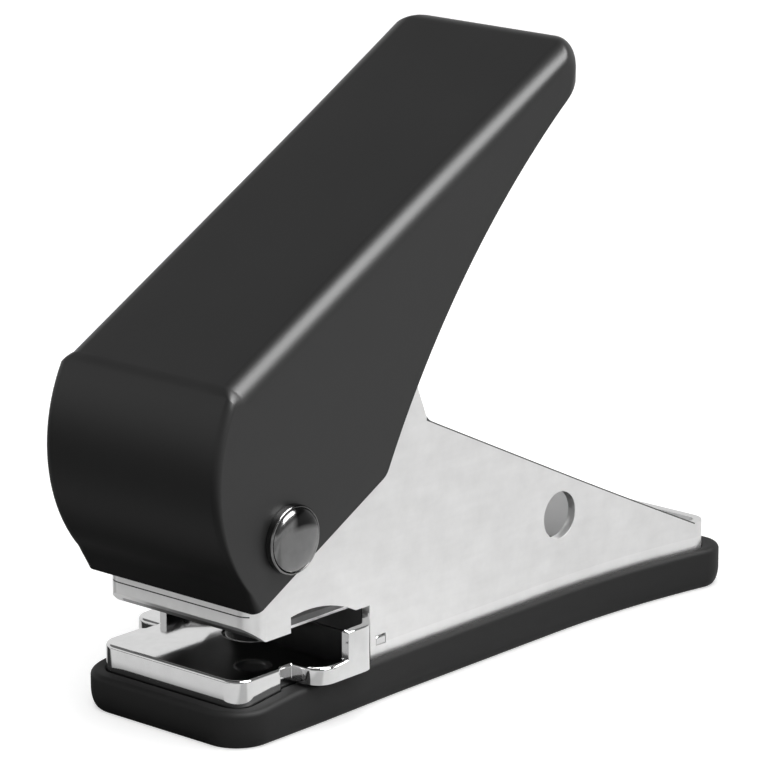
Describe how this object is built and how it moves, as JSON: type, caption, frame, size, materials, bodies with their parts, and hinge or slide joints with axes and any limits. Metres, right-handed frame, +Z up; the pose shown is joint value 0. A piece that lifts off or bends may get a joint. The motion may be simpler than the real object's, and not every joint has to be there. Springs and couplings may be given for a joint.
{
  "type": "dart flight punch",
  "caption": "Small black hand punch on a flat base: a long pressed lever drives a round punch through a dart flight held in its narrow front jaw.",
  "frame": {"origin": "on the table, under the axis of the punch", "axes": "+Z up along the punch's axis, -Y to the front where the flight goes in, +X to the right as seen from the front"},
  "size_m": [0.034, 0.0992, 0.0799],
  "materials": {
    "black_paint": "satin black powder paint",
    "black_plastic": "satin black moulded plastic",
    "plated_sheet": "bright plated sheet, faintly mottled",
    "chrome_sheet": "polished chrome",
    "tool_steel": "ground hard steel",
    "rivet_steel": "polished steel",
    "spring_wire": "oiled spring steel",
    "blued_steel": "dark blued steel",
    "washer_nylon": "natural nylon"
  },
  "bodies": {
    "frame": {"frame_body": "plated_sheet", "die_channel": "chrome_sheet", "jaw_plate": "blued_steel", "flight_stop": "blued_steel", "guide_bush": "tool_steel", "die_bush": "tool_steel", "spring_seat": "plated_sheet", "return_spring": "spring_wire", "pivot_rivet": "rivet_steel", "pivot_spacer": "plated_sheet", "pivot_washers": "washer_nylon"},
    "lever": {"lever_shell": "black_paint", "press_yoke": "plated_sheet", "press_pin": "tool_steel", "press_pin_clips": "spring_wire"},
    "punch": {"punch_pin": "tool_steel", "spring_collar": "plated_sheet"},
    "base": {"base_tray": "black_plastic"}
  },
  "joints": [
    {"name": "lever_press", "type": "hinge", "parent": "frame", "child": "lever", "pos_m": [0, -0.0089, 0.026], "axis": [-1, 0, 0], "range_deg": [0, 34], "stiffness_Nm_per_rad": 0.13, "springref_deg": -23.49},
    {"name": "punch_slide", "type": "slide", "parent": "frame", "child": "punch", "axis": [0, 0, -1], "range_m": [0, 0.00533], "deforming": ["return_spring"]},
    {"name": "base_pull_off", "type": "slide", "parent": "frame", "child": "base", "axis": [0, 0, -1], "range_m": [0, 0.012]}
  ],
  "couplings": [
    {"joint": "punch_slide", "follows": "lever_press", "m_per_rad": 0.008967}
  ]
}
